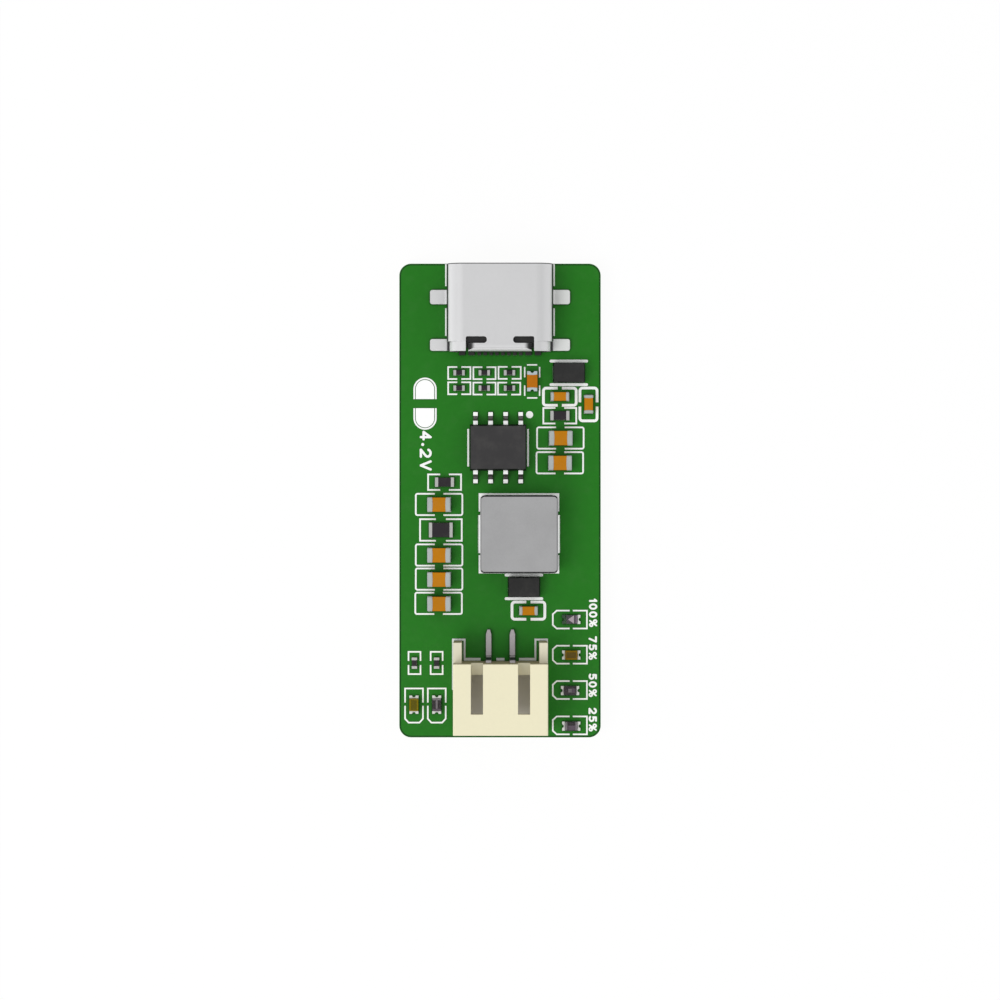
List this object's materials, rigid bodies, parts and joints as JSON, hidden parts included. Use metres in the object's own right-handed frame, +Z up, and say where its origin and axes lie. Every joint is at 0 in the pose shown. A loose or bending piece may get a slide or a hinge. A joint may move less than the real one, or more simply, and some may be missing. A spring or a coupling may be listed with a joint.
{
  "type": "battery charger board",
  "caption": "Green charger board for one lithium cell: USB-C socket at one end, two-way battery header at the other, charger chip, inductor and a row of indicator lamps between.",
  "frame": {"origin": "centre of the board's underside", "axes": "+X to the right, +Y along the board towards the USB-C socket, +Z up out of the component side"},
  "size_m": [0.017, 0.04, 0.0071],
  "materials": {
    "solder_mask": "satin green solder mask",
    "tinned_copper": "tinned, soft shine",
    "shell_steel": "nickel-plated sheet, satin",
    "black_moulding": "fine matte",
    "contact_gold": "gold flash",
    "plate_steel": "stamped steel",
    "cream_moulding": "smooth cream nylon",
    "tinned_pin": "tinned pin",
    "inductor_composite": "fine grey grain",
    "bright_tin": "bright tin",
    "chip_moulding": "fine sandy epoxy",
    "diode_moulding": "fine sandy epoxy",
    "resistor_glaze": "dark glaze with tinned ends",
    "capacitor_ceramic": "fired ceramic with tinned ends",
    "fuse_body": "ochre polymer with tinned ends",
    "lamp_base": "laminate with plated ends",
    "olive_lens": "tinted cast resin",
    "smoke_lens": "tinted cast resin",
    "clear_lens": "clear cast resin",
    "print_ink": "white print on the solder mask"
  },
  "bodies": {
    "root": {"battery_capacitor": "capacitor_ceramic", "battery_diode_body": "diode_moulding", "battery_diode_leads": "bright_tin", "battery_header_housing": "cream_moulding", "battery_header_pin_left": "tinned_pin", "battery_header_pin_right": "tinned_pin", "battery_header_tab_left": "tinned_pin", "battery_header_tab_right": "tinned_pin", "charger_body": "chip_moulding", "charger_leads": "bright_tin", "circuit_board": "solder_mask", "gauge_lamp_1_base": "lamp_base", "gauge_lamp_1_lens": "smoke_lens", "gauge_lamp_2_base": "lamp_base", "gauge_lamp_2_lens": "smoke_lens", "gauge_lamp_3_base": "lamp_base", "gauge_lamp_3_lens": "olive_lens", "gauge_lamp_4_base": "lamp_base", "gauge_lamp_4_lens": "clear_lens", "inductor_body": "inductor_composite", "inductor_terminal_left": "bright_tin", "inductor_terminal_right": "bright_tin", "input_bypass_capacitor": "capacitor_ceramic", "input_capacitor_1": "capacitor_ceramic", "input_capacitor_2": "capacitor_ceramic", "input_diode_body": "diode_moulding", "input_diode_leads": "bright_tin", "input_fuse": "fuse_body", "input_resistor_1": "resistor_glaze", "input_resistor_2": "resistor_glaze", "input_resistor_3": "resistor_glaze", "input_resistor_4": "resistor_glaze", "input_resistor_5": "resistor_glaze", "input_resistor_6": "resistor_glaze", "input_set_resistor": "resistor_glaze", "output_capacitor_1": "capacitor_ceramic", "output_capacitor_2": "capacitor_ceramic", "output_capacitor_3": "capacitor_ceramic", "output_capacitor_4": "capacitor_ceramic", "sense_resistor": "resistor_glaze", "setting_resistor": "resistor_glaze", "side_bypass_capacitor": "capacitor_ceramic", "solder_jumper_pads": "tinned_copper", "solder_pads": "tinned_copper", "status_lamp_1_base": "lamp_base", "status_lamp_1_lens": "olive_lens", "status_lamp_2_base": "lamp_base", "status_lamp_2_lens": "smoke_lens", "status_resistor_1": "resistor_glaze", "status_resistor_2": "resistor_glaze", "usb_contacts": "contact_gold", "usb_insulator": "black_moulding", "usb_mid_plate": "plate_steel", "usb_shell": "shell_steel"}
  },
  "joints": []
}
